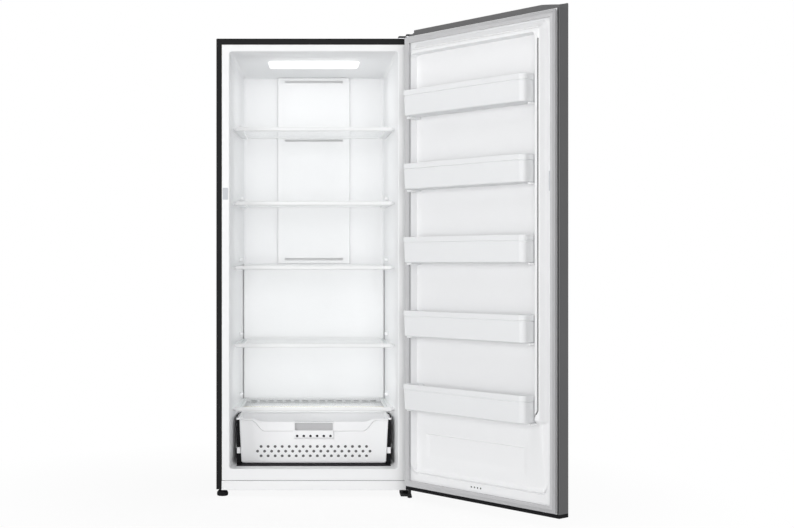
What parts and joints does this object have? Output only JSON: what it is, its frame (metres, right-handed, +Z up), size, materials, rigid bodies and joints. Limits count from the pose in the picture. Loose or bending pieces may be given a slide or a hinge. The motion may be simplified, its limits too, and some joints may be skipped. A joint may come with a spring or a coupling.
{
  "type": "upright freezer",
  "caption": "Upright single-door fridge freezer, door open, with glass shelves, door bins, a vented basket drawer, ceiling lamp and rear machine space.",
  "frame": {"origin": "on the floor, midway across the cabinet, under its front face", "axes": "+X to the right as seen from the front, +Y into the cabinet, +Z up"},
  "size_m": [1.3782, 1.3537, 1.971],
  "materials": {
    "cabinet_paint": "satin",
    "galvanised": "satin",
    "foam": "matte",
    "liner_plastic": "satin",
    "cover_plastic": "satin",
    "frame_paint": "satin",
    "coil_aluminium": "satin",
    "dark_plastic": "matte",
    "lens_plastic": "satin",
    "circuit_board": "satin",
    "sensor_plastic": "satin",
    "compressor_paint": "satin",
    "mount_rubber": "matte",
    "fan_plastic": "satin",
    "zinc_steel": "satin",
    "hinge_paint": "satin",
    "shelf_glass": "gloss",
    "shelf_trim": "satin",
    "drawer_plastic": "satin",
    "handle_grey": "satin",
    "door_paint": "satin",
    "cap_grey": "satin",
    "door_liner_plastic": "satin",
    "gasket_vinyl": "satin",
    "bush_plastic": "satin",
    "panel_glass": "gloss",
    "bin_plastic": "satin"
  },
  "bodies": {
    "cabinet": {"cabinet_shell": "cabinet_paint", "back_panel": "galvanised", "cabinet_floor": "galvanised", "foam_insulation": "foam", "inner_liner": "liner_plastic", "kick_panel": "liner_plastic", "base_frame": "frame_paint", "air_duct_cover": "cover_plastic", "evaporator_cover": "cover_plastic", "evaporator_coil": "coil_aluminium", "evaporator_fan_motor": "dark_plastic", "light_lens": "lens_plastic", "led_board": "circuit_board", "door_sensor": "sensor_plastic", "compressor": "compressor_paint", "compressor_mounts": "mount_rubber", "condenser_coil": "frame_paint", "condenser_fan_motor": "dark_plastic", "drip_tray": "dark_plastic", "control_board": "circuit_board", "machine_cover": "galvanised", "power_inlet": "dark_plastic", "top_hinge_bracket": "zinc_steel", "top_hinge_cover": "dark_plastic", "bottom_hinge_bracket": "hinge_paint", "hinge_screws": "zinc_steel", "roller_brackets": "zinc_steel", "drawer_rails": "liner_plastic"},
    "door": {"door_skin": "door_paint", "door_foam": "foam", "door_liner": "door_liner_plastic", "door_gasket": "gasket_vinyl", "door_top_cap": "cap_grey", "door_bottom_cap": "dark_plastic", "hinge_bushes": "bush_plastic", "door_grip": "dark_plastic", "control_panel": "panel_glass"},
    "drawer": {"drawer_basket": "drawer_plastic", "drawer_handle": "handle_grey"},
    "left_foot": {"left_foot": "dark_plastic"},
    "right_foot": {"right_foot": "dark_plastic"},
    "left_roller": {"left_roller": "dark_plastic"},
    "right_roller": {"right_roller": "dark_plastic"},
    "evaporator_fan": {"evaporator_fan": "fan_plastic"},
    "condenser_fan": {"condenser_fan": "fan_plastic"},
    "shelf_1": {"shelf_1_glass": "shelf_glass", "shelf_1_trim": "shelf_trim"},
    "door_bin_1": {"door_bin_1": "bin_plastic"},
    "shelf_2": {"shelf_2_glass": "shelf_glass", "shelf_2_trim": "shelf_trim"},
    "door_bin_2": {"door_bin_2": "bin_plastic"},
    "shelf_3": {"shelf_3_glass": "shelf_glass", "shelf_3_trim": "shelf_trim"},
    "door_bin_3": {"door_bin_3": "bin_plastic"},
    "shelf_4": {"shelf_4_glass": "shelf_glass", "shelf_4_trim": "shelf_trim"},
    "door_bin_4": {"door_bin_4": "bin_plastic"},
    "shelf_5": {"shelf_5_glass": "shelf_glass", "shelf_5_trim": "shelf_trim"},
    "door_bin_5": {"door_bin_5": "bin_plastic"}
  },
  "joints": [
    {"name": "door_hinge", "type": "hinge", "parent": "cabinet", "child": "door", "pos_m": [0.406, -0.031, 1], "axis": [0, 0, 1], "range_deg": [-129.6, 5]},
    {"name": "drawer_slide", "type": "slide", "parent": "cabinet", "child": "drawer", "axis": [0, -1, 0], "range_m": [0, 0.24]},
    {"name": "left_foot_turn", "type": "hinge", "parent": "cabinet", "child": "left_foot", "pos_m": [-0.39, 0.027, 0.02], "axis": [0, 0, 1], "continuous": true},
    {"name": "right_foot_turn", "type": "hinge", "parent": "cabinet", "child": "right_foot", "pos_m": [0.406, -0.031, 0.005], "axis": [0, 0, 1], "continuous": true},
    {"name": "left_roller_spin", "type": "hinge", "parent": "cabinet", "child": "left_roller", "pos_m": [-0.379, 0.635, 0.013], "axis": [1, 0, 0], "continuous": true},
    {"name": "right_roller_spin", "type": "hinge", "parent": "cabinet", "child": "right_roller", "pos_m": [0.379, 0.635, 0.013], "axis": [1, 0, 0], "continuous": true},
    {"name": "evaporator_fan_spin", "type": "hinge", "parent": "cabinet", "child": "evaporator_fan", "pos_m": [0, 0.578, 0.905], "axis": [0, 1, 0], "continuous": true},
    {"name": "condenser_fan_spin", "type": "hinge", "parent": "cabinet", "child": "condenser_fan", "pos_m": [-0.054, 0.5575, 0.165], "axis": [1, 0, 0], "continuous": true},
    {"name": "shelf_1_slide", "type": "slide", "parent": "cabinet", "child": "shelf_1", "axis": [0, -1, 0], "range_m": [0, 0.4]},
    {"name": "shelf_2_slide", "type": "slide", "parent": "cabinet", "child": "shelf_2", "axis": [0, -1, 0], "range_m": [0, 0.4]},
    {"name": "shelf_3_slide", "type": "slide", "parent": "cabinet", "child": "shelf_3", "axis": [0, -1, 0], "range_m": [0, 0.4]},
    {"name": "shelf_4_slide", "type": "slide", "parent": "cabinet", "child": "shelf_4", "axis": [0, -1, 0], "range_m": [0, 0.4]},
    {"name": "shelf_5_slide", "type": "slide", "parent": "cabinet", "child": "shelf_5", "axis": [0, -1, 0], "range_m": [0, 0.4]},
    {"name": "door_bin_1_lift", "type": "slide", "parent": "door", "child": "door_bin_1", "axis": [0, 0, 1], "range_m": [0, 0.06]},
    {"name": "door_bin_2_lift", "type": "slide", "parent": "door", "child": "door_bin_2", "axis": [0, 0, 1], "range_m": [0, 0.06]},
    {"name": "door_bin_3_lift", "type": "slide", "parent": "door", "child": "door_bin_3", "axis": [0, 0, 1], "range_m": [0, 0.06]},
    {"name": "door_bin_4_lift", "type": "slide", "parent": "door", "child": "door_bin_4", "axis": [0, 0, 1], "range_m": [0, 0.06]},
    {"name": "door_bin_5_lift", "type": "slide", "parent": "door", "child": "door_bin_5", "axis": [0, 0, 1], "range_m": [0, 0.06]}
  ]
}
